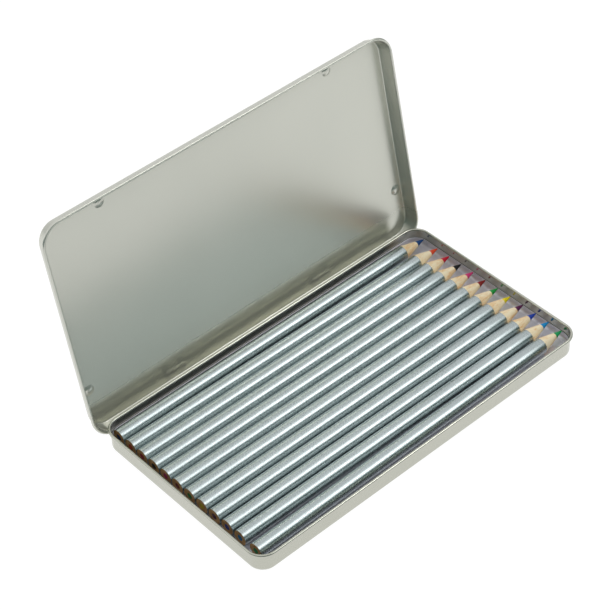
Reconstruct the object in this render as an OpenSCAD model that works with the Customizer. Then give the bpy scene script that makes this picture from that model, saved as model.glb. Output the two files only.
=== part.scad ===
// A shallow hinged tin, open, with a row of twelve sharpened coloured pencils.
// All sizes are in millimetres. +X runs along the pencils to their points, +Y runs to the
// hinges and +Z is up. The origin is the centre of the tray's flat underside.
// The lid is drawn open, where its rim rests against the back of the tray.

/* [Pencils] */
// Diameter of a pencil
pencil_diameter = 7; // [6:0.1:8.5]
// Length of a pencil with its point
pencil_length = 175.5; // [120:0.5:200]
// Length of the sharpened point
point_length = 13.2; // [8:0.1:25]
// Diameter of the coloured core
core_diameter = 2.8; // [2:0.1:4]
// Diameter of the blunt end of the point
tip_diameter = 0.5; // [0.3:0.05:1.5]
// Glue line between the core and the wood, on the radius
glue_line = 0.02; // [0.01:0.01:0.05]
// Height of a pencil above the raised floor
pencil_rest_gap = 0.08; // [0.03:0.01:0.3]

/* [Row of pencils] */
// Smallest gap between neighbours
pencil_gap = 0.3; // [0.3:0.05:1]
// How much the gaps widen from each pencil to the next at the blunt ends
blunt_end_spread = 0.04; // [0:0.005:0.1]
// How much the gaps widen from each pencil to the next at the points
point_end_spread = 0.025; // [0:0.001:0.1]
// Extra gap behind the front pencil at its blunt end
front_blunt_slack = 1.5; // [0.5:0.1:4]
// Extra gap in front of the rear pencil at its point
rear_point_slack = 1.44; // [0.5:0.01:4]
// How far the points lie in front of the blunt ends
row_lean = 0.19; // [0:0.01:0.5]
// How far each pencil lies past the one behind it, along its length
row_step = 0.07; // [0:0.01:0.15]
// Turn of the glued seam from one pencil to the next, in degrees
seam_turn = 49; // [5:1:90]
// Tilt of the front pencil's seam from upright, in degrees
front_seam_tilt = 35; // [0:1:90]
// Free room behind the row
rear_room = 2.46; // [1.5:0.01:6]
// Free room in front of the row
front_room = 3.4; // [1.5:0.05:6]
// Free room past the points
point_room = 0.97; // [0.8:0.01:5]
// Free room past the blunt ends
blunt_room = 2.93; // [2.2:0.01:5]
// How far a pencil lifts to come out
lift_travel = 40; // [20:1:80]

/* [Tray] */
// Thickness of the tinplate
sheet = 0.3; // [0.2:0.01:0.4]
// Height of the tray to the top of its rolled rim
tray_height = 10.6; // [9.5:0.1:14]
// Outside radius of the bend round the underside
tray_bend = 2.2; // [1:0.1:3]
// Outside radius of the corners, seen from above
corner_radius = 7; // [5.5:0.1:14]
// Diameter of the rolled rim
tray_bead = 1.3; // [1:0.05:1.8]
// How far a rolled rim stands inside its wall
bead_lap = 0.05; // [0.02:0.01:0.1]

/* [Raised floor] */
// Height of the raised floor above the underside
floor_height = 3.3; // [2.5:0.05:4.5]
// Thickness of the raised floor
floor_sheet = 0.4; // [0.3:0.01:0.6]
// Inside radius of the floor's upturned edge
floor_bend = 1.7; // [1:0.1:2]
// Height of the upright lip above that bend
floor_lip = 1.15; // [0.5:0.05:2]
// Gap between the upturned edge and the tray wall
floor_edge_gap = 0.12; // [0.05:0.01:0.3]
// Diameter of a pressed foot under the floor
foot_diameter = 6; // [4:0.1:9]
// Gap between a foot and the tray
foot_gap = 0.05; // [0.03:0.01:0.2]
// From the floor's end to its first foot
foot_end_inset = 24; // [18:0.5:30]
// From the floor's side to its first foot
foot_side_inset = 17; // [8:0.5:22]

/* [Lid] */
// Opening angle of the lid, in degrees
open_angle = 101.45; // [95:0.05:110]
// Least gap between the pencils and the closed lid
pencil_headroom = 0.2; // [0.15:0.01:2]
// Least gap between the tray rim and the panel of the closed lid, which rests on it
rim_seat_gap = 0.05; // [0.02:0.01:0.1]
// Depth of the lid inside, from its panel to the edge of its rolled rim
lid_depth = 6.35; // [5.6:0.01:7.3]
// Gap between the tray's rolled rim and the top of the lid wall, beside the panel
lid_side_gap = 0.2; // [0.15:0.01:1]
// How far the lid wall leans out, as a part of its height
lid_flare = 0.22; // [0.18:0.01:0.3]
// Outside radius of the bend round the lid panel
lid_bend = 0.8; // [0.6:0.05:1]
// Diameter of the lid's rolled rim
lid_bead = 1.3; // [1:0.05:1.5]
// Width of a dimple pressed into the lid panel
dimple_width = 5; // [3:0.1:6]
// Height of a dimple inside the lid
dimple_height = 0.8; // [0.4:0.05:0.9]
// Gap between a dimple and the inner edge of the tray's rolled rim
dimple_rim_gap = 0.06; // [0.03:0.01:0.1]
// Distance between the two dimples at the front
front_dimple_spacing = 122; // [60:1:150]
// From the hinge line to the dimple at the blunt ends
left_dimple_offset = 19; // [18:0.1:19.4]
// From the hinge line to the dimple at the points
right_dimple_offset = 22.5; // [12:0.5:60]

/* [Hinges] */
// Distance between the two hinges
hinge_spacing = 84; // [50:0.5:120]
// Diameter of a hinge pin
pin_diameter = 0.8; // [0.5:0.02:0.9]
// Running gap of the lid's loops on the pins, on the radius
loop_running_gap = 0.05; // [0.02:0.01:0.09]
// Gap of a pin in the tray's knuckles, on the radius
pin_seat_gap = 0.01; // [0.005:0.005:0.02]
// Thickness of metal round a pin
knuckle_wall = 0.3; // [0.25:0.01:0.4]
// Width of a knuckle on the tray
knuckle_width = 2.4; // [1.5:0.1:4]
// Width of a loop on the lid
loop_width = 5; // [3:0.1:8]
// Gap between the side of a loop and a knuckle
knuckle_side_gap = 0.2; // [0.1:0.01:0.4]
// Gap between a knuckle and the tray wall
knuckle_wall_gap = 0.4; // [0.2:0.01:0.5]
// Length of the straps that carry the knuckles
strap_length = 2.8; // [2:0.1:3.2]
// Gap between the lid's rolled rim and the tray wall when open
stop_gap = 0.03; // [0.02:0.01:0.1]

/* [Hidden] */
$fn = 64;
pencil_count = 12;
feet_along = 3;
feet_across = 2;
cut_margin = 1;
join_lap = 0.05;

pencil_radius = pencil_diameter / 2;
core_radius = core_diameter / 2;
core_bore = core_radius + glue_line;
tip_radius = tip_diameter / 2;
shaft_length = pencil_length - point_length;
pencil_axis_z = floor_height + pencil_rest_gap + pencil_radius;
pencil_top_z = pencil_axis_z + pencil_radius;
last_place = pencil_count - 1;
pencil_pitch = pencil_diameter + pencil_gap;

// Distance from the rear pencil to a place in the row, with gaps that widen by spread.
function row_run(place, spread) = place * pencil_pitch + spread * place * place / 2;

row_depth = row_run(last_place, blunt_end_spread) + front_blunt_slack + pencil_diameter;
tray_length = blunt_room + pencil_length + point_room + 2 * sheet;
tray_depth = rear_room + row_depth + front_room + 2 * sheet;
half_length = tray_length / 2;
half_depth = tray_depth / 2;
bead_radius = tray_bead / 2;
bead_out = tray_bead - sheet - bead_lap;
bead_centre_out = bead_out - bead_radius;
bead_z = tray_height - bead_radius;

rear_axis_y = half_depth - sheet - rear_room - pencil_radius;
point_x = half_length - sheet - point_room;
blunt_x = point_x - pencil_length;

// Where each pencil lies, with place 0 at the rear.
function blunt_y(place) = rear_axis_y - row_run(place, blunt_end_spread)
    - (place == last_place ? front_blunt_slack : 0);
function point_y(place) = rear_axis_y - row_lean - row_run(place, point_end_spread)
    - (place > 0 ? rear_point_slack : 0);
function slide_x(place) = row_step * (place - last_place / 2);
function yaw(place) = atan2(point_y(place) - blunt_y(place), pencil_length);
function seam_tilt(place) = front_seam_tilt + seam_turn * (last_place - place);
function point_at_radius(radius) = shaft_length
    + point_length * (pencil_radius - radius) / (pencil_radius - tip_radius);

floor_edge_out = floor_bend + floor_sheet;
floor_half_length = half_length - sheet - floor_edge_gap;
floor_half_depth = half_depth - sheet - floor_edge_gap;
floor_corner = corner_radius - sheet - floor_edge_gap;
foot_radius = foot_diameter / 2;
foot_bottom_z = sheet + foot_gap;
foot_reach_x = floor_half_length - foot_end_inset;
foot_reach_y = floor_half_depth - foot_side_inset;

lid_offset = bead_out + lid_side_gap;
lid_half_length = half_length + lid_offset + sheet;
lid_half_depth = half_depth + lid_offset + sheet;
lid_corner = corner_radius + lid_offset + sheet;
lid_inside_z = max(pencil_top_z + pencil_headroom, tray_height + rim_seat_gap);
lid_top_z = lid_inside_z + sheet;
lid_bottom_z = lid_inside_z - lid_depth;
lid_bead_radius = lid_bead / 2;
lid_wall_height = lid_top_z - lid_bottom_z;
lid_bead_centre = lid_bead_radius - sheet - bead_lap;
lid_bead_drop = lid_wall_height - lid_bead_radius;

// How far the lid wall leans out at a distance below the top of the closed lid.
function wall_lean(drop) = lid_flare * (drop - lid_bend);

// A dimple is a cap of a ball that just clears the inner edge of the tray's rolled rim.
dimple_radius = (dimple_width * dimple_width / 4 + dimple_height * dimple_height)
    / (2 * dimple_height);
dimple_z = lid_inside_z + dimple_radius - dimple_height;
dimple_inset = sqrt(pow(dimple_radius + bead_radius + dimple_rim_gap, 2)
    - pow(dimple_z - bead_z, 2)) - bead_centre_out;

pin_radius = pin_diameter / 2;
loop_bore = pin_radius + loop_running_gap;
knuckle_bore = pin_radius + pin_seat_gap;
knuckle_radius = loop_bore + knuckle_wall;
hinge_out = knuckle_wall_gap + knuckle_radius;
hinge_y = half_depth + hinge_out;

// From the hinge line to the inside of the closed lid's wall, at a height.
function lid_wall_out(height) = lid_offset + wall_lean(lid_top_z - height) - hinge_out;

// The open lid rests with its rolled rim against the tray's rear wall, which sets the height of
// the hinge line for the opening angle.
stop_run = lid_offset + wall_lean(lid_bead_drop) + sheet + lid_bead_centre - hinge_out;
stop_rise = (stop_gap + lid_bead_radius - hinge_out - stop_run * cos(open_angle))
    / sin(open_angle);
hinge_z = lid_bottom_z + lid_bead_radius - stop_rise;

lid_strap_in = knuckle_radius - 2 * join_lap;
lid_strap_rise = max(join_lap, (lid_wall_out(hinge_z) - lid_strap_in) / lid_flare);
loop_half = loop_width / 2;
knuckle_start = loop_half + knuckle_side_gap;
pin_half = knuckle_start + knuckle_width;

core_colours = ["midnightblue", "orangered", "crimson", "black", "deeppink", "maroon",
    "green", "gold", "indigo", "mediumblue", "deepskyblue", "mediumseagreen"];

// Sweeps a wall section, drawn outward from a corner's centre, round a rounded oblong.
module around(half_x, half_y, corner) {
    for (turn = [0, 180]) {
        rotate([0, 0, turn]) {
            translate([half_x - corner, half_y - corner, 0])
                rotate_extrude(angle = 90) children();
            translate([corner - half_x, half_y - corner, 0])
                rotate([0, 0, 90])
                rotate_extrude(angle = 90) children();
            translate([0, half_y - corner, 0])
                rotate([90, 0, 90])
                linear_extrude(2 * (half_x - corner), center = true) children();
            translate([half_x - corner, 0, 0])
                rotate([90, 0, 0])
                linear_extrude(2 * (half_y - corner), center = true) children();
        }
    }
}

// Flat sheet between the swept walls, from low to low + thick.
module sheet_between(half_x, half_y, corner, low, thick) {
    translate([corner - half_x, corner - half_y, low])
        cube([2 * (half_x - corner), 2 * (half_y - corner), thick]);
}

// Quarter ring that turns a level sheet up into a wall; the level sheet's lower face is at low.
module bend_section(corner, outer, thick, low) {
    translate([corner - outer, low + outer])
        intersection() {
            difference() {
                circle(outer);
                circle(outer - thick);
            }
            translate([0, -outer])
                square(outer);
        }
    translate([0, low])
        square([corner - outer, thick]);
}

module tray_section() {
    bend_section(corner_radius, tray_bend, sheet, 0);
    translate([corner_radius - sheet, tray_bend])
        square([sheet, bead_z - tray_bend]);
    translate([corner_radius + bead_centre_out, bead_z])
        circle(bead_radius);
}

module lid_section() {
    bend_section(lid_corner, lid_bend, sheet, 0);
    polygon([[lid_corner - sheet, lid_bend], [lid_corner, lid_bend],
        [lid_corner + wall_lean(lid_bead_drop), lid_bead_drop],
        [lid_corner - sheet + wall_lean(lid_bead_drop), lid_bead_drop]]);
    translate([lid_corner + wall_lean(lid_bead_drop) + lid_bead_centre, lid_bead_drop])
        circle(lid_bead_radius);
}

// A round bar along X, centred on the hinge line, with its seam clear of the straps.
module hinge_bar(radius, from_x, to_x) {
    translate([from_x, hinge_y, hinge_z])
        rotate([0, 90, 0])
        rotate([0, 0, 90])
        cylinder(h = to_x - from_x, r = radius);
}

module at_hinges() {
    for (side = [-1, 1])
        translate([side * hinge_spacing / 2, 0, 0])
            children();
}

module tray_knuckle() {
    difference() {
        union() {
            hinge_bar(knuckle_radius, knuckle_start, pin_half);
            translate([knuckle_start, half_depth - join_lap, hinge_z])
                cube([knuckle_width, knuckle_wall_gap + 3 * join_lap, strap_length]);
        }
        hinge_bar(knuckle_bore, knuckle_start - cut_margin, pin_half + cut_margin);
    }
}

module tray() {
    color("silver") {
        around(half_length, half_depth, corner_radius)
            tray_section();
        sheet_between(half_length, half_depth, corner_radius, 0, sheet);
        at_hinges() {
            tray_knuckle();
            mirror([1, 0, 0])
                tray_knuckle();
        }
    }
}

module foot_places() {
    for (i = [0 : feet_along - 1])
        for (j = [0 : feet_across - 1])
            translate([foot_reach_x * (2 * i / (feet_along - 1) - 1),
                foot_reach_y * (2 * j / (feet_across - 1) - 1), 0])
                children();
}

module floor_section() {
    bend_section(floor_corner, floor_edge_out, floor_sheet, floor_height - floor_sheet);
    translate([floor_corner - floor_sheet, floor_height - floor_sheet + floor_edge_out])
        square([floor_sheet, floor_lip]);
}

module raised_floor() {
    color("lightgray")
        difference() {
            union() {
                around(floor_half_length, floor_half_depth, floor_corner)
                    floor_section();
                sheet_between(floor_half_length, floor_half_depth, floor_corner,
                    floor_height - floor_sheet, floor_sheet);
                foot_places()
                    translate([0, 0, foot_bottom_z])
                        cylinder(h = floor_height - foot_bottom_z, r = foot_radius);
            }
            foot_places()
                translate([0, 0, foot_bottom_z + floor_sheet])
                    cylinder(h = floor_height, r = foot_radius - floor_sheet);
        }
}

// Turns the closed lid about the hinge line.
module swung(angle) {
    translate([0, hinge_y, hinge_z])
        rotate([angle, 0, 0])
        translate([0, -hinge_y, -hinge_z])
        children();
}

module dimple_places() {
    for (side = [-1, 1])
        translate([side * front_dimple_spacing / 2, dimple_inset - half_depth, dimple_z])
            children();
    translate([dimple_inset - half_length, hinge_y - left_dimple_offset, dimple_z])
        children();
    translate([half_length - dimple_inset, hinge_y - right_dimple_offset, dimple_z])
        children();
}

// A ball with its poles level, clear of the cap that a dimple uses.
module dimple_ball(radius) {
    rotate([90, 0, 0])
        sphere(radius);
}

module dimple_cap() {
    intersection() {
        dimple_ball(dimple_radius);
        translate([-dimple_width, -dimple_width, -dimple_radius - cut_margin])
            cube([2 * dimple_width, 2 * dimple_width,
                dimple_height + cut_margin + sheet / 2]);
    }
}

// The strap that carries a loop, between the loop and the leaning wall.
module lid_strap() {
    translate([-loop_half, hinge_y, hinge_z])
        rotate([90, 0, 90])
        linear_extrude(loop_width)
        polygon([[lid_strap_in, 0], [lid_wall_out(hinge_z) + join_lap, 0],
            [lid_strap_in + join_lap, lid_strap_rise], [lid_strap_in, lid_strap_rise]]);
}

module closed_lid_shell() {
    difference() {
        union() {
            translate([0, 0, lid_top_z])
                mirror([0, 0, 1]) {
                    around(lid_half_length, lid_half_depth, lid_corner)
                        lid_section();
                    sheet_between(lid_half_length, lid_half_depth, lid_corner, 0, sheet);
                }
            dimple_places()
                dimple_cap();
        }
        dimple_places()
            dimple_ball(dimple_radius - sheet);
    }
    at_hinges()
        lid_strap();
}

module lid() {
    color("gainsboro")
        difference() {
            union() {
                swung(-open_angle)
                    closed_lid_shell();
                at_hinges()
                    hinge_bar(knuckle_radius, -loop_half, loop_half);
            }
            at_hinges()
                hinge_bar(loop_bore, -loop_half - cut_margin, loop_half + cut_margin);
        }
}

module hinge_pin(side) {
    color("dimgray")
        translate([side * hinge_spacing / 2, 0, 0])
        hinge_bar(pin_radius, -pin_half, pin_half);
}

// Lays a pencil, drawn up +Z from its blunt end, in its place in the row.
module laid(place) {
    translate([blunt_x + slide_x(place), blunt_y(place), pencil_axis_z])
        rotate([0, 0, yaw(place)])
        rotate([seam_tilt(place), 0, 0])
        rotate([0, 90, 0])
        children();
}

module pencil_wood(place, half) {
    color("burlywood")
        laid(place)
        rotate([0, 0, 180 * half])
        rotate_extrude(angle = 180)
        polygon([[core_bore, 0], [pencil_radius, 0], [pencil_radius, shaft_length],
            [core_bore, point_at_radius(core_bore)]]);
}

module pencil_core(place) {
    color(core_colours[place])
        laid(place)
        rotate_extrude()
        polygon([[0, 0], [core_radius, 0], [core_radius, point_at_radius(core_radius)],
            [tip_radius, pencil_length], [0, pencil_length]]);
}

tray();
raised_floor();
lid();
hinge_pin(-1);  // hinge_pin_left
hinge_pin(1);  // hinge_pin_right
pencil_wood(0, 0);  // pencil_01_wood_a
pencil_wood(0, 1);  // pencil_01_wood_b
pencil_core(0);  // pencil_01_core
pencil_wood(1, 0);  // pencil_02_wood_a
pencil_wood(1, 1);  // pencil_02_wood_b
pencil_core(1);  // pencil_02_core
pencil_wood(2, 0);  // pencil_03_wood_a
pencil_wood(2, 1);  // pencil_03_wood_b
pencil_core(2);  // pencil_03_core
pencil_wood(3, 0);  // pencil_04_wood_a
pencil_wood(3, 1);  // pencil_04_wood_b
pencil_core(3);  // pencil_04_core
pencil_wood(4, 0);  // pencil_05_wood_a
pencil_wood(4, 1);  // pencil_05_wood_b
pencil_core(4);  // pencil_05_core
pencil_wood(5, 0);  // pencil_06_wood_a
pencil_wood(5, 1);  // pencil_06_wood_b
pencil_core(5);  // pencil_06_core
pencil_wood(6, 0);  // pencil_07_wood_a
pencil_wood(6, 1);  // pencil_07_wood_b
pencil_core(6);  // pencil_07_core
pencil_wood(7, 0);  // pencil_08_wood_a
pencil_wood(7, 1);  // pencil_08_wood_b
pencil_core(7);  // pencil_08_core
pencil_wood(8, 0);  // pencil_09_wood_a
pencil_wood(8, 1);  // pencil_09_wood_b
pencil_core(8);  // pencil_09_core
pencil_wood(9, 0);  // pencil_10_wood_a
pencil_wood(9, 1);  // pencil_10_wood_b
pencil_core(9);  // pencil_10_core
pencil_wood(10, 0);  // pencil_11_wood_a
pencil_wood(10, 1);  // pencil_11_wood_b
pencil_core(10);  // pencil_11_core
pencil_wood(11, 0);  // pencil_12_wood_a
pencil_wood(11, 1);  // pencil_12_wood_b
pencil_core(11);  // pencil_12_core
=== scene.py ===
"""Builds the look of an open tinplate pencil tin with twelve coloured pencils.

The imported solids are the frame. Each piece made here stands for one of them, or rides on it.
Sizes in the dataclasses are millimetres; meshes are made in metres.
"""

import logging
import math
from collections.abc import Iterable
from dataclasses import dataclass
from enum import Enum

import bmesh
import bpy
from mathutils import Matrix, Vector


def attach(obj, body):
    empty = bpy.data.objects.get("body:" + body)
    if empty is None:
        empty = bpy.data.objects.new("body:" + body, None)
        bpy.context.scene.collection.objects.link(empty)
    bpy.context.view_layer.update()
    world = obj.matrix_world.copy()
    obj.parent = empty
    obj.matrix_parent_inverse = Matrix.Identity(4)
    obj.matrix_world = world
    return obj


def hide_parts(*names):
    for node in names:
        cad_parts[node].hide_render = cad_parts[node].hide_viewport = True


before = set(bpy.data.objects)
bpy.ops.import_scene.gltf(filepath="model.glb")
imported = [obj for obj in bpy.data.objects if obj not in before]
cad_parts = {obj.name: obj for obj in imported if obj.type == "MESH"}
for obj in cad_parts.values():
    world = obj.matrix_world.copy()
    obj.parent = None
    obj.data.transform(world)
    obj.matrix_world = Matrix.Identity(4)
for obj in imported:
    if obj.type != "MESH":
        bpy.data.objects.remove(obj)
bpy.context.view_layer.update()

Tree = bpy.types.NodeTree
Socket = bpy.types.NodeSocket
Material = bpy.types.Material
Mesh = bmesh.types.BMesh
BMEdge = bmesh.types.BMEdge
BMFace = bmesh.types.BMFace
BMVert = bmesh.types.BMVert
Pair = tuple[float, float]
Triple = tuple[float, float, float]
Colour = tuple[float, float, float, float]

MM = 0.001
MM_PER_METRE = 1000
WHITE = (1.0, 1.0, 1.0, 1.0)
# The pencils' blunt ends lie behind this place along X, in millimetres, and their points past it.
BLUNT_SIDE_X = -50
log = logging.getLogger("pencil_tin")


# Colours and nodes


def linear(hex_colour: str) -> Colour:
    """Turns an sRGB hex colour into linear light.

    Args:
        hex_colour: Six hex digits, with or without a leading #.

    Returns:
        Linear red, green, blue and an alpha of 1.
    """
    digits = hex_colour.lstrip("#")
    out = []
    for i in (0, 2, 4):
        c = int(digits[i : i + 2], 16) / 255
        out.append(c / 12.92 if c <= 0.04045 else ((c + 0.055) / 1.055) ** 2.4)
    return (out[0], out[1], out[2], 1.0)


def scaled(colour: Colour, part: float) -> Colour:
    """Darkens or brightens a linear colour.

    Args:
        colour: The linear colour.
        part: What each channel is multiplied by.

    Returns:
        The new colour, with no channel above 1.
    """
    red, green, blue = (min(1.0, c * part) for c in colour[:3])
    return (red, green, blue, 1.0)


def feed(tree: Tree, node: bpy.types.Node, values: dict) -> None:
    """Sets a node's input sockets.

    Args:
        tree: The node tree.
        node: The node.
        values: Input socket name or number to a value, or to the output socket linked to it.
    """
    for key, value in values.items():
        socket = node.inputs[key]
        if isinstance(value, Socket):
            tree.links.new(value, socket)
        else:
            socket.default_value = value


def add_node(tree: Tree, kind: str, values: dict | None = None, **settings) -> bpy.types.Node:
    """Adds a node to a tree, with its settings, socket values and links.

    Args:
        tree: The node tree.
        kind: The node's type name.
        values: Input socket name or number to a value, or to the output socket linked to it.
        **settings: Attributes of the node itself.

    Returns:
        The new node.
    """
    node = tree.nodes.new(kind)
    for name, value in settings.items():
        setattr(node, name, value)
    feed(tree, node, values or {})
    return node


def add_ramp(tree: Tree, factor: Socket, stops: Iterable[tuple[float, Colour]]) -> Socket:
    """Adds a colour ramp.

    Args:
        tree: The node tree.
        factor: Where along the ramp to look.
        stops: Pairs of a position and a linear colour.

    Returns:
        The ramp's colour.
    """
    node = add_node(tree, "ShaderNodeValToRGB", {"Fac": factor})
    elements = node.color_ramp.elements
    while len(elements) > 1:
        elements.remove(elements[-1])
    first, *others = stops
    elements[0].position, elements[0].color = first
    for place, colour in others:
        elements.new(place).color = colour
    return node.outputs["Color"]


def blend(tree: Tree, factor: Socket, first: Socket | Colour, second: Socket | Colour) -> Socket:
    """Mixes two colours, or their sockets: factor 0 gives the first, 1 the second."""
    values = {"Factor": factor, "A": first, "B": second}
    return add_node(tree, "ShaderNodeMix", values, data_type="RGBA").outputs["Result"]


def combine(tree: Tree, operation: str, first: Socket, second: Socket | float) -> Socket:
    """Works out one value from two, each a number or a socket."""
    return add_node(tree, "ShaderNodeMath", {0: first, 1: second}, operation=operation).outputs[0]


def remap(tree: Tree, value: Socket, target: Pair, source: Pair = (0.0, 1.0)) -> Socket:
    """Stretches the values from source over the range of target."""
    ends = {"From Min": source[0], "From Max": source[1], "To Min": target[0], "To Max": target[1]}
    return add_node(tree, "ShaderNodeMapRange", {"Value": value, **ends}).outputs["Result"]


def bump(
    tree: Tree, height: Socket, strength: float, distance_mm: float, under: Socket | None = None
) -> Socket:
    """Raises a fine relief.

    Args:
        tree: The node tree.
        height: The relief's pattern.
        strength: How much of it shows.
        distance_mm: Its real height.
        under: Another relief that it lies on.

    Returns:
        The surface's direction.
    """
    values = {"Height": height, "Strength": strength, "Distance": distance_mm * MM}
    if under is not None:
        values["Normal"] = under
    return add_node(tree, "ShaderNodeBump", values).outputs["Normal"]


def new_material(name: str) -> tuple[Material, Tree, bpy.types.Node]:
    """Makes an empty material with one shader.

    Args:
        name: The material's name.

    Returns:
        The material, its node tree and its shader node.
    """
    material = bpy.data.materials.new(name)
    material.use_nodes = True
    tree = material.node_tree
    return material, tree, tree.nodes["Principled BSDF"]


def mapped(tree: Tree, sizes_mm: Triple) -> Socket:
    """Object coordinates, scaled for a pattern of a real size.

    Args:
        tree: The node tree.
        sizes_mm: Size of the pattern's features along each axis.

    Returns:
        The scaled coordinates.
    """
    where = add_node(tree, "ShaderNodeTexCoord").outputs["Object"]
    scale = tuple(MM_PER_METRE / size for size in sizes_mm)
    return add_node(tree, "ShaderNodeMapping", {"Vector": where, "Scale": scale}).outputs[0]


def noise(tree: Tree, sizes_mm: Triple, detail: float, **values: float) -> Socket:
    """Adds a noise pattern whose features have a real size along each axis."""
    values = {"Vector": mapped(tree, sizes_mm), "Scale": 1.0, "Detail": detail, **values}
    return add_node(tree, "ShaderNodeTexNoise", values).outputs["Fac"]


def object_axis(tree: Tree, axis: str) -> Socket:
    """Gives the object coordinate along X, Y or Z, in metres."""
    where = add_node(tree, "ShaderNodeTexCoord").outputs["Object"]
    return add_node(tree, "ShaderNodeSeparateXYZ", {0: where}).outputs[axis]


def blunt_end(tree: Tree) -> Socket:
    """Gives 1 at the pencils' blunt ends and 0 at their points."""
    # The wood's and the cores' painted shade at the blunt ends follows this mask.
    return combine(tree, "LESS_THAN", object_axis(tree, "X"), BLUNT_SIDE_X * MM)


# Finishes


@dataclass(frozen=True)
class Tinplate:
    """Cold-rolled tinplate with a matt tin coat under a thin clear lacquer.

    The matt coat blurs reflections into soft fields of light; a faint grain runs along the
    sheet, the lacquer has a slight peel, and the sheet is never quite flat. Where the lid is
    folded along its hinge the coat is burnished smooth, up to a given height.
    """

    name: str
    colour: str
    dark_colour: str
    roughness: float = 0.18
    roughness_swing: float = 0.004
    metallic: float = 1.0
    grain_mm: Triple = (9.0, 0.5, 0.5)
    grain_span: Pair = (0.3, 0.7)
    peel_mm: float = 0.9
    peel_height_mm: float = 0.01
    peel_strength: float = 0.1
    wave_mm: float = 34.0
    wave_height_mm: float = 0.03
    burnish_mm: float = 0.0
    burnished_part: float = 0.45
    burnish_span: Pair = (0.7, 1.8)

    def build(self) -> Material:
        """Makes the material.

        Returns:
            The material.
        """
        material, tree, shader = new_material(self.name)
        grain = noise(tree, self.grain_mm, detail=3.0)
        peel = noise(tree, (self.peel_mm,) * 3, detail=2.0)
        cloud = noise(tree, (self.wave_mm,) * 3, detail=1.0)
        least, most = self.roughness - self.roughness_swing, self.roughness + self.roughness_swing
        rough = remap(tree, grain, (least, most), self.grain_span)
        if self.burnish_mm:
            ends = tuple(part * self.burnish_mm * MM for part in self.burnish_span)
            worn = remap(tree, object_axis(tree, "Z"), (self.burnished_part, 1.0), ends)
            rough = combine(tree, "MULTIPLY", rough, worn)
        skin = bump(tree, peel, self.peel_strength, self.peel_height_mm)
        values = {
            "Base Color": blend(tree, cloud, linear(self.dark_colour), linear(self.colour)),
            "Roughness": rough,
            "Metallic": self.metallic,
            "Normal": bump(tree, cloud, 1.0, self.wave_height_mm, skin),
        }
        feed(tree, shader, values)
        return material


@dataclass(frozen=True)
class MetallicLacquer:
    """Silver pencil lacquer: fine aluminium flake in a clear nitro lacquer.

    The flake gives a soft, broad metal sheen, with a mottle drawn coarse enough to show; the
    dipped coats leave slow ripples along the pencil.
    """

    name: str = "silver_flake_lacquer"
    colour: str = "BEC7C8"
    flake: str = "AEB9BA"
    flake_mm: float = 0.3
    flake_height_mm: float = 0.01
    flake_strength: float = 0.2
    ripple_mm: Triple = (14.0, 3.0, 3.0)
    ripple_height_mm: float = 0.04
    ripple_strength: float = 0.5
    roughness: Pair = (0.25, 0.32)

    def build(self) -> Material:
        """Makes the material.

        Returns:
            The material.
        """
        material, tree, shader = new_material(self.name)
        cells = {"Vector": mapped(tree, (self.flake_mm,) * 3), "Scale": 1.0}
        flakes = add_node(tree, "ShaderNodeTexVoronoi", cells)
        shade = add_node(tree, "ShaderNodeSeparateColor", {0: flakes.outputs["Color"]})
        swell = noise(tree, self.ripple_mm, detail=2.0)
        fleck = bump(tree, flakes.outputs["Distance"], self.flake_strength, self.flake_height_mm)
        values = {
            "Base Color": blend(tree, shade.outputs[0], linear(self.colour), linear(self.flake)),
            "Roughness": remap(tree, shade.outputs[1], self.roughness),
            "Metallic": 1.0,
            "Normal": bump(tree, swell, self.ripple_strength, self.ripple_height_mm, fleck),
        }
        feed(tree, shader, values)
        return material


@dataclass(frozen=True)
class PencilWood:
    """Cedar-like pencil wood, cut by the sharpener on the cone and sawn at the blunt end.

    Fine lengthwise grain in a warm pale buff with darker growth lines; the blunt end is darker
    and browner, partly the end grain's own colour and partly painted shade for the shadow there.
    """

    name: str = "sharpened_cedar"
    # From the growth lines to the wood between them: places along the grain, and colours.
    cut_span: Pair = (0.36, 0.54)
    cut_hues: tuple[str, str] = ("EFC48C", "FFEFCC")
    # The blunt ends' colours are darker than real end grain: painted shade for the shadow there.
    sawn_and_shaded_span: Pair = (0.38, 0.58)
    sawn_and_shaded_hues: tuple[str, str] = ("8A6234", "BA9360")
    grain_mm: Triple = (9.0, 0.45, 0.45)
    growth_mm: Triple = (30.0, 2.4, 2.4)
    grain_height_mm: float = 0.04
    grain_strength: float = 0.4
    roughness: float = 0.6

    def build(self) -> Material:
        """Makes the material.

        Returns:
            The material.
        """
        material, tree, shader = new_material(self.name)
        grain = noise(tree, self.grain_mm, detail=4.0, Roughness=0.6, Distortion=0.3)
        both = combine(tree, "ADD", grain, noise(tree, self.growth_mm, detail=1.0))
        half = combine(tree, "MULTIPLY", both, 0.5)
        cut = add_ramp(tree, half, zip(self.cut_span, map(linear, self.cut_hues)))
        sawn = add_ramp(tree, half, zip(self.sawn_and_shaded_span, map(linear, self.sawn_and_shaded_hues)))
        values = {
            # Painted shade, partly real end grain: the blunt ends take the darker colours.
            "Base Color": blend(tree, blunt_end(tree), cut, sawn),
            "Roughness": self.roughness,
            "Normal": bump(tree, grain, self.grain_strength, self.grain_height_mm),
        }
        feed(tree, shader, values)
        return material


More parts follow.
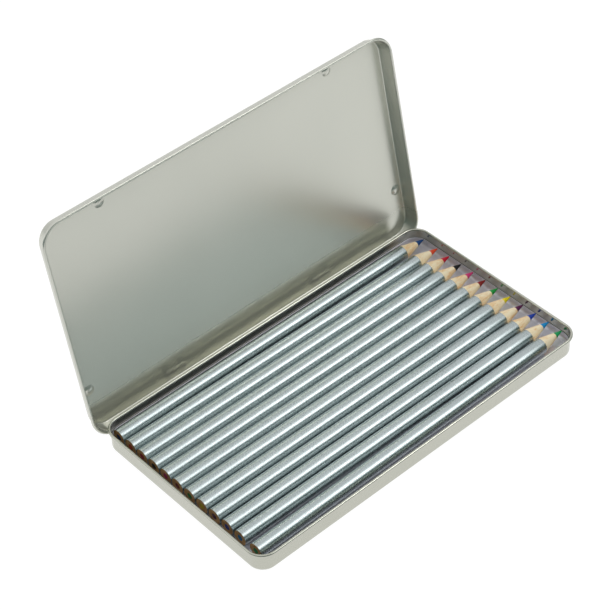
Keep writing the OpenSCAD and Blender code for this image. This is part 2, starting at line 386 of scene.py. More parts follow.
@dataclass(frozen=True)
class WaxCore:
    """Pigment bound in wax: strong matt colour with a faint waxy sheen and fine cutting marks.

    The blunt end is darker: painted shade for the shadow that falls on the blunt ends.
    """

    name: str
    colour: str
    speck_mm: Triple = (0.9, 0.35, 0.35)
    speck_height_mm: float = 0.04
    speck_strength: float = 0.35
    # Places along the speckle, and the shares of the colour there.
    speck_stops: tuple[Pair, Pair] = ((0.3, 0.72), (0.65, 1.15))
    # Share of the colour kept at the blunt end: painted shade.
    blunt_shade_part: float = 0.5
    roughness: float = 0.55
    sheen: float = 0.3

    def build(self) -> Material:
        """Makes the material.

        Returns:
            The material.
        """
        material, tree, shader = new_material(self.name)
        speck = noise(tree, self.speck_mm, detail=3.0)
        base = linear(self.colour)
        cut = add_ramp(tree, speck, [(at, scaled(base, part)) for at, part in self.speck_stops])
        values = {
            # Painted shade: the core's colour is darkened at the blunt end.
            "Base Color": blend(tree, blunt_end(tree), cut, scaled(base, self.blunt_shade_part)),
            "Roughness": self.roughness,
            "Specular IOR Level": self.sheen,
            "Normal": bump(tree, speck, self.speck_strength, self.speck_height_mm),
        }
        feed(tree, shader, values)
        return material


# Mesh helpers

# More points than any piece has, so that three of their numbers make one.
MOST_POINTS = 100_000
# Distances in millimetres: points this close are one point, the seam of a sweep closes over
# this much, and an opening is level to within this much.
SAME_POINT = 1e-4
SEAM = 2e-3
LEVEL = 1e-3
# Edges of small pieces that turn more than this many degrees are shaded sharp.
SHARP_SMALL = 35.0
# Edges round a full circle, where it is turned and where it is pressed.
TURNED_EDGES = 48
PRESSED_EDGES = 40
# Edges round the bends, the rolls and the curls of sheet.
BEND_EDGES = 10
TIGHT_BEND_EDGES = 8
ROLL_EDGES = 24
ROLL_HOLLOW_EDGES = 16
CURL_EDGES = 24


class Outline:
    """A section line drawn in the XZ plane, in millimetres, from lines and arcs."""

    def __init__(self, x: float, z: float) -> None:
        """Starts the line.

        Args:
            x: Outward place of the first point.
            z: Height of the first point.
        """
        self.bm = bmesh.new()
        self.tip = bmesh.ops.create_vert(self.bm, co=(x, 0, z))["vert"][0]

    def line(self, x: float, z: float, steps: int = 1) -> "Outline":
        """Draws a straight line.

        Args:
            x: Outward place of its end.
            z: Height of its end.
            steps: Number of edges in it.

        Returns:
            The outline.
        """
        step = (Vector((x, 0, z)) - self.tip.co) / steps
        for _ in range(steps):
            grown = bmesh.ops.extrude_vert_indiv(self.bm, verts=[self.tip])
            self.tip = grown["verts"][0]
            bmesh.ops.translate(self.bm, verts=[self.tip], vec=step)
        return self

    def arc(self, x: float, z: float, turn: float, steps: int) -> "Outline":
        """Draws an arc.

        Args:
            x: Outward place of its centre.
            z: Height of its centre.
            turn: Its angle in degrees, positive from +X towards +Z.
            steps: Number of edges in it.

        Returns:
            The outline.
        """
        spun = bmesh.ops.spin(
            self.bm,
            geom=[self.tip],
            cent=(x, 0, z),
            axis=(0, -1, 0),
            angle=math.radians(turn),
            steps=steps,
            use_merge=False,
            use_duplicate=False,
        )
        self.tip = new_parts(spun["geom_last"], BMVert)[0]
        return self

    def solid(self, depth: float) -> Mesh:
        """Closes the line and gives it a depth along Y.

        Args:
            depth: How deep the solid is.

        Returns:
            The solid.
        """
        self.bm.edges.new((self.tip, self.bm.verts[:][0]))
        face = bmesh.ops.contextual_create(self.bm, geom=self.bm.edges[:])["faces"]
        grown = bmesh.ops.extrude_face_region(self.bm, geom=face, use_keep_orig=True)["geom"]
        moved = new_parts(grown, BMVert)
        bmesh.ops.translate(self.bm, verts=moved, vec=(0, depth, 0))
        return self.bm


def new_parts(grown: list, kind: type) -> list:
    """Picks the parts of one kind from what an operator made."""
    return [part for part in grown if isinstance(part, kind)]


def grow(bm: Mesh, edges: list[BMEdge]) -> tuple[list[BMEdge], list[BMVert]]:
    """Extrudes edges, with the new ones still in place.

    Args:
        bm: The mesh.
        edges: The edges to extrude.

    Returns:
        The edges opposite them, and their points.
    """
    grown = bmesh.ops.extrude_edge_only(bm, edges=edges)["geom"]
    verts = new_parts(grown, BMVert)
    return [e for e in new_parts(grown, BMEdge) if all(v in verts for v in e.verts)], verts


def drag(bm: Mesh, edges: list[BMEdge], vec: Triple, steps: int) -> list[BMEdge]:
    """Extrudes edges along a straight run.

    Args:
        bm: The mesh.
        edges: The edges to extrude.
        vec: The whole run.
        steps: Number of equal parts in it.

    Returns:
        The edges at the end of the run.
    """
    for _ in range(steps):
        edges, verts = grow(bm, edges)
        bmesh.ops.translate(bm, verts=verts, vec=Vector(vec) / steps)
    return edges


def sweep_round(
    outline: Outline,
    half_x: float,
    half_y: float,
    corner: float,
    corner_steps: int = 14,
    runs: int = 8,
) -> Mesh:
    """Sweeps a section round a rounded oblong.

    Args:
        outline: The section, drawn outward from a corner's centre.
        half_x: Half the oblong's length.
        half_y: Half its depth.
        corner: Its corner radius.
        corner_steps: Edges round a corner.
        runs: Edges along a side.

    Returns:
        The swept mesh, in millimetres.
    """
    bm = outline.bm
    cx, cy = half_x - corner, half_y - corner
    bmesh.ops.translate(bm, verts=bm.verts, vec=(cx, cy, 0))
    edges = list(bm.edges)
    for centre, run in (
        ((cx, cy), (-2 * cx, 0, 0)),
        ((-cx, cy), (0, -2 * cy, 0)),
        ((-cx, -cy), (2 * cx, 0, 0)),
        ((cx, -cy), (0, 2 * cy, 0)),
    ):
        spun = bmesh.ops.spin(
            bm,
            geom=edges,
            cent=(*centre, 0),
            axis=(0, 0, 1),
            angle=math.radians(90),
            steps=corner_steps,
            use_merge=False,
            use_duplicate=False,
        )
        edges = drag(bm, new_parts(spun["geom_last"], BMEdge), run, runs)
    bmesh.ops.remove_doubles(bm, verts=bm.verts, dist=SEAM)
    return bm


def fill_plate(bm: Mesh, height: float, holes: list[Triple] | None = None) -> list[list[BMEdge]]:
    """Fills a level opening with a flat plate, round holes.

    Args:
        bm: The mesh.
        height: Height of the opening's edge.
        holes: Centre and radius of each hole.

    Returns:
        The edges round each hole.
    """
    rim = [
        e for e in bm.edges if e.is_boundary and all(abs(v.co.z - height) < LEVEL for v in e.verts)
    ]
    if not holes:
        bmesh.ops.contextual_create(bm, geom=rim)
        return []
    rings = []
    for x, y, radius in holes:
        place = Matrix.Translation((x, y, height))
        ring = bmesh.ops.create_circle(
            bm, cap_ends=False, segments=PRESSED_EDGES, radius=radius, matrix=place
        )["verts"]
        rings.append(list(dict.fromkeys(e for v in ring for e in v.link_edges)))
    edges = rim + [e for ring in rings for e in ring]
    bmesh.ops.triangle_fill(bm, use_beauty=True, use_dissolve=False, edges=edges)
    return rings


def press(bm: Mesh, ring: list[BMEdge], centre: Pair, profile: list[Pair]) -> None:
    """Presses a round shape into a plate, inside a ring of edges.

    Args:
        bm: The mesh.
        ring: The edges round the shape.
        centre: The shape's centre.
        profile: Radius and height of each further ring, the last of which is capped.
    """
    middle = Vector((*centre, 0))
    radius = (ring[0].verts[0].co.xy - middle.xy).length
    height = 0.0
    for next_radius, next_height in profile:
        ring, verts = grow(bm, ring)
        k = next_radius / radius
        bmesh.ops.scale(bm, vec=(k, k, 1), space=Matrix.Translation(-middle), verts=verts)
        bmesh.ops.translate(bm, verts=verts, vec=(0, 0, next_height - height))
        radius, height = next_radius, next_height
    bmesh.ops.contextual_create(bm, geom=ring)


def turned(line: Outline, angle: float) -> Mesh:
    """Turns a section round the X axis.

    Args:
        line: The section, with length along X and radius along Z.
        angle: 360 for a round piece, or 180 for a half.

    Returns:
        The turned mesh.
    """
    bm = line.bm
    full = angle >= 360
    if not full:
        bm.edges.new((line.tip, bm.verts[:][0]))
    bmesh.ops.spin(
        bm,
        geom=bm.edges[:] + bm.verts[:],
        cent=(0, 0, 0),
        axis=(1, 0, 0),
        angle=math.radians(angle),
        steps=TURNED_EDGES if full else TURNED_EDGES // 2,
        use_merge=full,
        use_duplicate=False,
    )
    bmesh.ops.remove_doubles(bm, verts=bm.verts, dist=SAME_POINT)
    if not full:
        bmesh.ops.holes_fill(bm, edges=[e for e in bm.edges if e.is_boundary], sides=0)
    return bm


def place_object(name: str, data: bpy.types.ID) -> bpy.types.Object:
    """Adds an object to the scene.

    Args:
        name: The object's name.
        data: Its mesh, lamp or lens.

    Returns:
        The object.
    """
    thing = bpy.data.objects.new(name, data)
    bpy.context.scene.collection.objects.link(thing)
    return thing


def face_order(face: BMFace) -> float:
    """Numbers a face by its lowest points.

    The operators leave the order of faces open, so this makes it the same each run.

    Args:
        face: The face.

    Returns:
        Its place in the order.
    """
    low, middle, high = sorted(v.index for v in face.verts)[:3]
    return float((low * MOST_POINTS + middle) * MOST_POINTS + high)


def finish_mesh(
    bm: Mesh,
    name: str,
    material: Material,
    place: Matrix | None = None,
    sharp: float = 40.0,
) -> bpy.types.Object:
    """Turns a bmesh in millimetres into a finished object at the origin, and reports it.

    Args:
        bm: The mesh, in millimetres. It is freed.
        name: The piece's name.
        material: Its finish.
        place: Where it goes, in millimetres.
        sharp: Edges steeper than this many degrees are shaded sharp.

    Returns:
        The object.
    """
    if place is not None:
        bmesh.ops.transform(bm, matrix=place, verts=bm.verts)
    bmesh.ops.remove_doubles(bm, verts=bm.verts, dist=SAME_POINT)
    bmesh.ops.recalc_face_normals(bm, faces=bm.faces)
    bmesh.ops.scale(bm, vec=(MM, MM, MM), verts=bm.verts)
    for face in bm.faces:
        face.smooth = True
    bm.verts.index_update()
    bm.faces.sort(key=face_order)
    mesh = bpy.data.meshes.new(name)
    bm.to_mesh(mesh)
    bm.free()
    mesh.set_sharp_from_angle(angle=math.radians(sharp))
    mesh.materials.append(material)
    log.info("%s: %d faces", name, len(mesh.polygons))
    return place_object(name, mesh)


# The tin


@dataclass
class TinSizes:
    """Sizes that the tray, the raised floor, the lid and the hinges share."""

    half_length: float = 90.0
    half_depth: float = 48.84
    sheet: float = 0.3
    height: float = 10.6
    bend: float = 2.2
    corner: float = 7.0
    bead: float = 1.3
    bead_out: float = 0.95
    lid_gap: float = 0.2
    lid_flare: float = 0.22
    lid_bend: float = 0.8
    lid_bead: float = 1.3
    lid_bead_in: float = 0.05
    lid_depth: float = 6.35
    lid_inside_z: float = 10.65
    open_angle: float = 101.45
    hinge_y: float = 49.99
    hinge_z: float = 5.0763
    hinge_spacing: float = 84.0
    plate_edge: float = 0.4

    @property
    def lid_out(self) -> float:
        """How far the lid's wall stands outside the tray's, beside the panel."""
        return self.bead_out + self.lid_gap + self.sheet

    def lid_wall(self, height: float) -> float:
        """How far the inside of the closed lid's rear wall lies behind the hinge line.

        Args:
            height: Height above the underside.

        Returns:
            The distance.
        """
        drop = self.lid_inside_z + self.sheet - height
        wall = self.bead_out + self.lid_gap + self.lid_flare * (drop - self.lid_bend)
        return self.half_depth + wall - self.hinge_y

    @property
    def swing(self) -> Matrix:
        """Turns the closed lid open about the hinge line."""
        return (
            Matrix.Translation((0, self.hinge_y, self.hinge_z))
            @ Matrix.Rotation(math.radians(-self.open_angle), 4, "X")
            @ Matrix.Translation((0, -self.hinge_y, -self.hinge_z))
        )

    @property
    def lid_place(self) -> Matrix:
        """Where the lid, drawn closed and upside down, lies when open."""
        top = self.lid_inside_z + self.sheet
        return self.swing @ Matrix.Translation((0, 0, top)) @ Matrix.Scale(-1, 4, (0, 0, 1))


# Where the edge of the rolled sheet ends, in degrees about the roll's centre.
ROLL_END = -100.0


def rolled_rim(
    outline: Outline,
    wall: float,
    sheet: float,
    centre_out: float,
    centre_z: float,
    radius: float,
    foot: Pair,
    steps: int = 8,
) -> Outline:
    """Draws a wall's inner face, its outward roll and its outer face.

    Args:
        outline: The line, at the foot of the wall's inner face.
        wall: Outward place of the wall's outer face at the roll.
        sheet: Thickness of the sheet.
        centre_out: How far the roll's centre lies outside the outer face.
        centre_z: Height of the roll's centre.
        radius: Radius of the roll.
        foot: The foot of the outer face.
        steps: How many pieces the inner face is drawn in.

    Returns:
        The outline, at the foot of the outer face.
    """
    cx = wall + centre_out
    start = 180 + math.degrees(math.acos((centre_out + sheet) / radius))
    end = ROLL_END
    hollow = radius - sheet
    back = 180 + math.degrees(math.acos(min(1.0, centre_out / hollow)))
    outline.line(wall - sheet, centre_z + radius * math.sin(math.radians(start)), steps)
    outline.arc(cx, centre_z, end - start, ROLL_EDGES)
    tip = math.radians(end)
    outline.line(cx + hollow * math.cos(tip), centre_z + hollow * math.sin(tip))
    outline.arc(cx, centre_z, back - end, ROLL_HOLLOW_EDGES)
    return outline.line(*foot, steps=8)


@dataclass
class Tray:
    """The tinplate tray with its rolled rim."""

    sizes: TinSizes
    metal: Material

    def build(self) -> None:
        """Makes the tray's shell."""
        s = self.sizes
        flat = s.corner - s.bend
        line = Outline(flat - s.plate_edge, s.sheet).line(flat, s.sheet)
        line.arc(flat, s.bend, 90, BEND_EDGES)
        radius = s.bead / 2
        out, high = s.bead_out - radius, s.height - radius
        rolled_rim(line, s.corner, s.sheet, out, high, radius, (s.corner, s.bend))
        line.arc(flat, s.bend, -90, BEND_EDGES).line(flat - s.plate_edge, 0.0)
        bm = sweep_round(line, s.half_length, s.half_depth, s.corner)
        fill_plate(bm, s.sheet)
        fill_plate(bm, 0.0)
        shell = finish_mesh(bm, "tray_shell", self.metal)
        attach(shell, "tray")
        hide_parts("tray")


@dataclass
class RaisedFloor:
    """The pressed sheet that carries the pencils level with the tray's rim."""

    sizes: TinSizes
    metal: Material
    top: float = 3.3
    sheet: float = 0.4
    bend: float = 1.7
    lip: float = 1.15
    edge_gap: float = 0.12
    foot_radius: float = 3.0
    foot_bottom: float = 0.35
    foot_end_inset: float = 24.0
    foot_side_inset: float = 17.0
    foot_margin: float = 0.6
    foot_round: float = 0.3
    foot_ease: float = 0.09

    def build(self) -> None:
        """Makes the floor with its upturned edge and pressed feet."""
        s = self.sizes
        corner = s.corner - s.sheet - self.edge_gap
        half_x = s.half_length - s.sheet - self.edge_gap
        half_y = s.half_depth - s.sheet - self.edge_gap
        low = self.top - self.sheet
        outer = self.bend + self.sheet
        flat = corner - outer
        lip_top = low + outer + self.lip
        line = Outline(flat - s.plate_edge, self.top).line(flat, self.top)
        line.arc(flat, low + outer, 90, BEND_EDGES)
        line.line(corner - self.sheet, lip_top - self.sheet / 2)
        line.arc(corner - self.sheet / 2, lip_top - self.sheet / 2, -180, TIGHT_BEND_EDGES)
        line.line(corner, low + outer)
        line.arc(flat, low + outer, -90, BEND_EDGES).line(flat - s.plate_edge, low)
        bm = sweep_round(line, half_x, half_y, corner, corner_steps=12, runs=6)
        places = [
            (x * (half_x - self.foot_end_inset), y * (half_y - self.foot_side_inset))
            for x in (-1, 0, 1)
            for y in (-1, 1)
        ]
        for height, radius, base in (
            (self.top, self.foot_radius - self.sheet, self.foot_bottom + self.sheet),
            (low, self.foot_radius, self.foot_bottom),
        ):
            drop = base - height
            rings = fill_plate(bm, height, [(x, y, radius + self.foot_margin) for x, y in places])
            profile = [
                (radius + self.foot_round, 0.0),
                (radius + self.foot_ease, -self.foot_ease),
                (radius, -self.foot_round),
                (radius, drop + self.foot_round),
                (radius - self.foot_ease, drop + self.foot_ease),
                (radius - self.foot_round, drop),
            ]
            for ring, place in zip(rings, places):
                press(bm, ring, place, profile)
        sheet = finish_mesh(bm, "raised_floor_sheet", self.metal)
        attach(sheet, "tray")
        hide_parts("raised_floor")


@dataclass
class Lid:
    """The hinged tinplate lid with its leaning walls, rolled rim and pressed dimples."""

    sizes: TinSizes
    metal: Material
    dimple_width: float = 5.0
    dimple_height: float = 0.8
    dimple_inset: float = 2.433
    dimple_margin: float = 0.13
    # The flat ring round the dome, as distances outside it and heights, then the dome's rings
    # as parts of its radius.
    dimple_skirt: tuple = ((0.07, 0.0), (0.03, 0.005))
    dimple_rings: tuple = (0.96, 0.9, 0.82, 0.72, 0.6, 0.46, 0.3, 0.14)
    front_spacing: float = 122.0
    left_offset: float = 19.0
    right_offset: float = 22.5

    def dimple_centres(self) -> list[Pair]:
        """Where the four dimples are.

        Returns:
            Their centres, with the lid closed.
        """
        s = self.sizes
        end = s.half_length - self.dimple_inset
        front = self.dimple_inset - s.half_depth
        return [
            (-self.front_spacing / 2, front),
            (self.front_spacing / 2, front),
            (-end, s.hinge_y - self.left_offset),
            (end, s.hinge_y - self.right_offset),
        ]

    def dimple_profile(self, width: float) -> list[Pair]:
        """Draws half of a dimple: a shallow dome with a softened edge.

        Args:
            width: Width of the dome.

        Returns:
            Radius and height of each ring, from the edge to the middle.
        """
        edge = width / 2
        skirt = [(edge + out, height) for out, height in self.dimple_skirt]
        dome = [(edge * part, self.dimple_height * (1 - part * part)) for part in self.dimple_rings]
        return skirt + dome

    def build(self) -> None:
        """Makes the lid's shell."""
        s = self.sizes
        half_x, half_y = s.half_length + s.lid_out, s.half_depth + s.lid_out
        corner = s.corner + s.lid_out
        radius = s.lid_bead / 2
        centre_z = s.lid_depth + s.sheet - radius
        flat = corner - s.lid_bend
        lean = math.atan(s.lid_flare)
        turn = 90 - math.degrees(lean)
        wall = corner + s.lid_flare * (centre_z - s.lid_bend)
        line = Outline(flat - s.plate_edge, s.sheet).line(flat, s.sheet)
        line.arc(flat, s.lid_bend, turn, TIGHT_BEND_EDGES)
        foot = (flat + s.lid_bend * math.cos(lean), s.lid_bend * (1 - math.sin(lean)))
        out = radius - s.sheet - s.lid_bead_in
        rolled_rim(line, wall, s.sheet, out, centre_z, radius, foot, steps=1)
        line.arc(flat, s.lid_bend, -turn, TIGHT_BEND_EDGES).line(flat - s.plate_edge, 0.0)
        bm = sweep_round(line, half_x, half_y, corner)
        centres = self.dimple_centres()
        for height, width in ((s.sheet, self.dimple_width), (0.0, self.dimple_width - s.sheet)):
            hole = width / 2 + self.dimple_margin
            rings = fill_plate(bm, height, [(x, y, hole) for x, y in centres])
            for ring, centre in zip(rings, centres):
                press(bm, ring, centre, self.dimple_profile(width))
        shell = finish_mesh(bm, "lid_shell", self.metal, s.lid_place)
        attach(shell, "lid")
        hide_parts("lid")


@dataclass
class Hinge:
    """One hinge: two knuckles curled from a strap on the tray, a loop on the lid and a pin."""

    sizes: TinSizes
    side: str
    metal: Material
    wire: Material
    inner: float = 0.45
    outer: float = 0.75
    pin_radius: float = 0.4
    loop_half: float = 2.5
    knuckle_gap: float = 0.2
    knuckle_width: float = 2.4
    strap: float = 2.8
    lid_strap: float = 2.6
    curl: float = 285.0
    curl_taper: float = 3.0
    wall_lap: float = 0.02
    pin_chamfer: float = 0.08

    def curled(self, start: float, turn: float, strap: list[Pair]) -> Outline:
        """Draws a curl of sheet with the strap that carries it.

        Args:
            start: Angle where the strap meets the curl, in degrees.
            turn: How far the sheet goes round, in degrees.
            strap: The strap's corners, from the curl's inner face round to its outer face.

        Returns:
            The section, about the hinge line.
        """
        first, last = math.radians(start), math.radians(start + turn)
        line = Outline(self.outer * math.cos(last), self.outer * math.sin(last))
        line.line(self.inner * math.cos(last), self.inner * math.sin(last))
        line.arc(0, 0, -turn, CURL_EDGES)
        for corner in strap:
            line.line(*corner)
        line.line(self.outer * math.cos(first), self.outer * math.sin(first))
        return line.arc(0, 0, turn - self.curl_taper, CURL_EDGES)

    def add_curl(self, line: Outline, span: Pair, swing: Matrix, name: str, body: str) -> None:
        """Makes a curled piece between two places along the hinge line.

        Args:
            line: Its section.
            span: Where it starts and where it ends.
            swing: How far it is turned about the hinge line.
            name: The piece's name.
            body: The body it rides on.
        """
        s = self.sizes
        bm = line.solid(span[0] - span[1])
        place = (
            swing
            @ Matrix.Translation((span[0], s.hinge_y, s.hinge_z))
            @ Matrix.Rotation(math.pi / 2, 4, "Z")
        )
        piece = finish_mesh(bm, name, self.metal, place, SHARP_SMALL)
        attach(piece, body)

    def tray_strap_corners(self) -> list[Pair]:
        """Draws the strap that runs up the tray's rear wall from a knuckle.

        Returns:
            Its corners about the hinge line: outward, then up.
        """
        s = self.sizes
        outside = s.half_depth - s.hinge_y + s.sheet
        inside = s.half_depth - s.hinge_y - self.wall_lap
        return [
            (-0.46, 0.35),
            (outside, 1.3),
            (outside, self.strap),
            (inside, self.strap),
            (inside, 1.1),
            (-0.74, 0.3),
        ]

    def lid_strap_corners(self) -> list[Pair]:
        """Draws the strap that runs from the loop to the closed lid's rear wall.

        Returns:
            Its corners about the hinge line: outward, then up.
        """
        s = self.sizes
        wall = s.lid_wall(s.hinge_z + self.lid_strap) + self.wall_lap
        return [
            (0.46, 0.4),
            (0.42, 1.5),
            (wall - s.sheet, self.lid_strap),
            (wall, self.lid_strap),
            (0.74, 1.66),
            (0.75, 0.3),
        ]

    def build(self) -> None:
        """Makes the knuckles, the loop and the pin."""
        s = self.sizes
        middle = s.hinge_spacing / 2 * (-1 if self.side == "left" else 1)
        reach = self.loop_half + self.knuckle_gap
        for end, side in (("outer", -1), ("inner", 1)):
            low = middle + (reach if side > 0 else -reach - self.knuckle_width)
            line = self.curled(180.0, self.curl, self.tray_strap_corners())
            span = (low, low + self.knuckle_width)
            name = f"tray_knuckle_{self.side}_{end}"
            self.add_curl(line, span, Matrix.Identity(4), name, "tray")
        line = self.curled(0.0, -self.curl, self.lid_strap_corners())
        span = (middle - self.loop_half, middle + self.loop_half)
        self.add_curl(line, span, s.swing, f"lid_loop_{self.side}", "lid")
        half, cut = reach + self.knuckle_width, self.pin_chamfer
        rod = Outline(-half, 0.0).line(-half, self.pin_radius - cut)
        rod.line(cut - half, self.pin_radius).line(half - cut, self.pin_radius, steps=6)
        rod.line(half, self.pin_radius - cut).line(half, 0.0)
        pin = finish_mesh(
            turned(rod, 360),
            f"hinge_pin_{self.side}_wire",
            self.wire,
            Matrix.Translation((middle, s.hinge_y, s.hinge_z)),
        )
        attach(pin, "tray")
        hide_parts(f"hinge_pin_{self.side}")


# The pencils


class Core(Enum):
    """The twelve leads in their order from the hinge side: the slot's name and its colour."""

    NAVY = "144680"
    VERMILION = "E4502C"
    CRIMSON = "C60F30"
    BLACK = "16161A"
    MAGENTA = "D23A78"
    BROWN_RED = "8C2020"
    GREEN = "1C9A40"
    YELLOW = "F0DA1C"
    PLUM = "5E2050"
    ULTRAMARINE = "2343AC"
    CERULEAN = "1890D0"
    EMERALD = "10A25E"


@dataclass
class Pencil:
    """A round pencil: two glued wood halves round a core, in a lacquer sleeve."""

    number: int
    core: Core
    lacquer: Material
    wood: Material
    radius: float = 3.5
    lacquer_wall: float = 0.06
    core_radius: float = 1.4
    core_bore: float = 1.42
    tip_radius: float = 0.25
    point: float = 13.2
    front_seam_tilt: float = 35.0
    seam_turn: float = 49.0
    edge_cut: float = 0.05
    wood_start: float = 0.02
    core_cut: float = 0.1
    # The worn tip: each ring's place from its end, what it adds to the tip's radius, and edges.
    tip_rings: tuple = ((-0.25, 0.04, 5), (-0.06, -0.05, 1), (0.0, -0.15, 1))
    # Points this close to the end of the core belong to its end face.
    end_face: float = 0.02

    @property
    def key(self) -> str:
        """The pencil's name in the part."""
        return f"pencil_{self.number:02d}"

    def axis(self) -> tuple[Vector, Vector]:
        """Finds where the pencil lies.

        Returns:
            The centres of its blunt end and of its tip, in millimetres.
        """
        points = [v.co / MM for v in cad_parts[self.key + "_core"].data.vertices]
        low, high = min(p.x for p in points), max(p.x for p in points)
        ends = []
        for x in (low, high):
            ring = [p for p in points if abs(p.x - x) < self.end_face]
            box = [(min(p[k] for p in ring) + max(p[k] for p in ring)) / 2 for k in range(3)]
            ends.append(Vector(box))
        return ends[0], ends[1]

    def build(self) -> None:
        """Makes the sleeve, the two halves and the core."""
        blunt, tip = self.axis()
        length = (tip - blunt).length
        shaft = length - self.point
        heading = (tip - blunt).normalized()
        yaw = math.atan2(heading.y, heading.x)
        tilt = self.front_seam_tilt + self.seam_turn * (len(Core) - self.number)
        place = (
            Matrix.Translation(blunt)
            @ Matrix.Rotation(yaw, 4, "Z")
            @ Matrix.Rotation(math.radians(tilt), 4, "X")
        )

        def at(radius: float) -> float:
            """How far along the pencil the sharpened cone has this radius."""
            return shaft + self.point * (self.radius - radius) / (self.radius - self.tip_radius)

        inner = self.radius - self.lacquer_wall
        cut, body = self.edge_cut, self.key
        # Each section is drawn with radius along Z and length along X, then spun round X.
        sleeve = Outline(self.lacquer_wall, inner)
        sleeve.line(0.0, self.radius - cut).line(cut, self.radius)
        sleeve.line(shaft, self.radius, steps=12)
        sleeve.line(at(inner) - cut, inner)
        self.finish(turned(sleeve, 360), place, body + "_lacquer", self.lacquer)
        for half, letter in enumerate("ab"):
            line = Outline(self.wood_start, self.core_bore)
            line.line(self.wood_start, inner - cut).line(self.wood_start + cut, inner)
            line.line(at(inner) - self.lacquer_wall, inner, steps=2)
            line.line(at(self.core_bore), self.core_bore, steps=6)
            turn = place @ Matrix.Rotation(math.pi * half, 4, "X")
            name = f"{body}_wood_{letter}_turned"
            wood = self.finish(turned(line, 180), turn, name, self.wood)
            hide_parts(f"{body}_wood_{letter}")
        line = Outline(0.0, 0.0)
        line.line(0.0, self.core_radius - self.core_cut).line(self.core_cut, self.core_radius)
        line.line(at(self.core_radius), self.core_radius, steps=2)
        for along, out, steps in self.tip_rings:
            line.line(length + along, self.tip_radius + out, steps)
        line.line(length, 0.0)
        slot = "core_" + self.core.name.lower()
        wax = WaxCore("wax_" + slot, self.core.value).build()
        core = self.finish(turned(line, 360), place, body + "_wax_core", wax)
        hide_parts(body + "_core")

    def finish(
        self,
        bm: Mesh,
        place: Matrix,
        name: str,
        material: Material,
    ) -> bpy.types.Object:
        """Puts a turned piece in its place on the pencil's body.

        Args:
            bm: The piece, along X from the pencil's blunt end.
            place: Where the pencil lies.
            name: The piece's name.
            material: Its finish.

        Returns:
            The finished piece, riding on its pencil.
        """
        piece = finish_mesh(bm, name, material, place, SHARP_SMALL)
        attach(piece, self.key)
        return piece


# The studio


def direction(azimuth: float, elevation: float) -> Vector:
    """Points from the tin to a place: degrees from -Y towards -X, and above the horizon."""
    az, el = math.radians(azimuth), math.radians(elevation)
    return Vector((-math.sin(az) * math.cos(el), -math.cos(az) * math.cos(el), math.sin(el)))


@dataclass(frozen=True)
class Softbox:
    """A round soft lamp that faces the tin, with its size and its reach in metres."""

    name: str
    azimuth: float
    elevation: float
    size: float
    watts: float
    reach: float = 1.6

    def build(self) -> None:
        """Adds the lamp."""
        towards = direction(self.azimuth, self.elevation)
        data = bpy.data.lights.new(self.name, "AREA")
        data.shape = "DISK"
        data.size = self.size
        data.energy = self.watts
        turn = towards.to_track_quat("Z", "Y").to_matrix().to_4x4()
        place_object(self.name, data).matrix_world = Matrix.Translation(towards * self.reach) @ turn


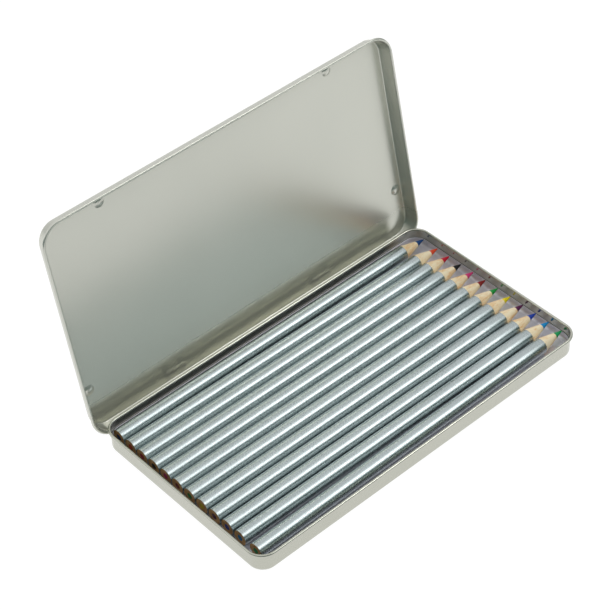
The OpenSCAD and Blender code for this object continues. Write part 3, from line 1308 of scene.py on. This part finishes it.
@dataclass
class Studio:
    """A white sweep under a soft overhead sky, with softboxes beside and behind the tin."""

    azimuth: float = 40.661
    elevation: float = 43.237
    roll: float = -2.426
    distance: float = 854.885
    aim_right: float = -16.934
    aim_up: float = 38.549
    focal_pixels: float = 2029.672
    frame_pixels: int = 610
    sensor_mm: float = 36.0
    glow_azimuth: float = 12.0
    glow_lean: float = 0.5
    sky: float = 0.66
    horizon: str = "30504C"
    horizon_end: float = 0.12
    # Places along the sky, and the shares of its brightness in red, green and blue there.
    sky_stops: tuple = (
        (0.42, (0.6, 0.66, 0.64)),
        (0.6, (1.0, 1.0, 1.0)),
        (0.95, (1.35, 1.35, 1.35)),
    )
    floor_reach: float = 1.6
    paper: str = "F2F2F2"
    paper_glow: float = 1.12
    paper_glow_share: float = 0.85
    softboxes: tuple[Softbox, ...] = (
        Softbox("key_softbox", -46.0, 50.0, 1.2, 3.6),
        Softbox("key_core", -45.0, 49.0, 0.3, 1.3),
        Softbox("back_softbox", 130.0, 26.0, 1.0, 1.2),
    )

    def add_camera(self) -> None:
        """Places the camera."""
        roll = math.radians(self.roll)
        back = direction(self.azimuth, self.elevation)
        flat_right = (-back).cross(Vector((0, 0, 1))).normalized()
        flat_up = flat_right.cross(-back)
        right = flat_right * math.cos(roll) + flat_up * math.sin(roll)
        up = flat_up * math.cos(roll) - flat_right * math.sin(roll)
        eye = (back * self.distance + right * self.aim_right + up * self.aim_up) * MM
        lens = bpy.data.cameras.new("camera")
        lens.sensor_fit = "HORIZONTAL"
        lens.sensor_width = self.sensor_mm
        lens.lens = self.focal_pixels / self.frame_pixels * self.sensor_mm
        camera = place_object("camera", lens)
        turn = Matrix((right, up, back)).transposed().to_4x4()
        camera.matrix_world = Matrix.Translation(eye) @ turn
        bpy.context.scene.camera = camera

    def add_world(self) -> None:
        """Makes the sky: bright above and behind the tin, dark green-grey low in front."""
        world = bpy.data.worlds.new("studio")
        world.use_nodes = True
        bpy.context.scene.world = world
        tree = world.node_tree
        where = add_node(tree, "ShaderNodeTexCoord").outputs["Generated"]
        # Height, plus a part of how far the direction points to the bright side behind the tin.
        az = math.radians(self.glow_azimuth)
        lean = (self.glow_lean * math.sin(az), self.glow_lean * math.cos(az), 1.0)
        rise = add_node(tree, "ShaderNodeVectorMath", {0: where, 1: lean}, operation="DOT_PRODUCT")
        stops = [(0.0, linear(self.horizon)), (self.horizon_end, linear(self.horizon))]
        for place, parts in self.sky_stops:
            stops.append((place, tuple(self.sky * part for part in parts) + (1.0,)))
        sky = add_ramp(tree, rise.outputs["Value"], stops)
        path = add_node(tree, "ShaderNodeLightPath")
        seen = blend(tree, path.outputs["Is Camera Ray"], sky, WHITE)
        feed(tree, tree.nodes["Background"], {"Color": seen})

    def add_floor(self) -> None:
        """Makes the white floor, which keeps a faint shadow."""
        bm = bmesh.new()
        bmesh.ops.create_grid(bm, x_segments=1, y_segments=1, size=self.floor_reach)
        mesh = bpy.data.meshes.new("studio_floor")
        bm.to_mesh(mesh)
        bm.free()
        floor = place_object("studio_floor", mesh)
        material, tree, shader = new_material("studio_paper")
        matt = {"Base Color": linear(self.paper), "Roughness": 0.9, "Specular IOR Level": 0.0}
        feed(tree, shader, matt)
        glow = add_node(tree, "ShaderNodeEmission", {"Color": WHITE, "Strength": self.paper_glow})
        path = add_node(tree, "ShaderNodeLightPath").outputs
        seen = combine(tree, "MAXIMUM", path["Is Camera Ray"], path["Is Glossy Ray"])
        seen = combine(tree, "MAXIMUM", seen, path["Is Transmission Ray"])
        share = combine(tree, "MULTIPLY", seen, self.paper_glow_share)
        both = {0: share, 1: shader.outputs[0], 2: glow.outputs[0]}
        mix = add_node(tree, "ShaderNodeMixShader", both)
        feed(tree, tree.nodes["Material Output"], {"Surface": mix.outputs[0]})
        mesh.materials.append(material)

    def build(self) -> None:
        """Makes the camera, the floor and the light."""
        bpy.context.scene.view_settings.view_transform = "Standard"
        self.add_camera()
        self.add_world()
        self.add_floor()
        for softbox in self.softboxes:
            softbox.build()


def main() -> None:
    """Builds the studio, the tin and its pencils."""
    logging.basicConfig(level=logging.INFO, format="%(name)s: %(message)s")
    Studio().build()
    sizes = TinSizes()
    tray_metal = Tinplate("tray_tinplate", "C2C2B7", "BBBCB1", 0.17, metallic=0.95).build()
    lid_metal = Tinplate(
        "lid_tinplate", "DADAD0", "D3D4CA", 0.28, metallic=0.66, burnish_mm=9.0
    ).build()
    floor_metal = Tinplate("floor_tinplate", "E2E0E8", "D8D6DE", 0.4, metallic=0.55).build()
    wire = Tinplate("drawn_steel_wire", "8E8E8C", "7C7C7A", 0.3).build()
    Tray(sizes, tray_metal).build()
    RaisedFloor(sizes, floor_metal).build()
    Lid(sizes, lid_metal).build()
    for side in ("left", "right"):
        Hinge(sizes, side, tray_metal, wire).build()
    lacquer = MetallicLacquer().build()
    wood = PencilWood().build()
    for number, core in enumerate(Core, start=1):
        Pencil(number, core, lacquer, wood).build()


if __name__ == "__main__":
    main()
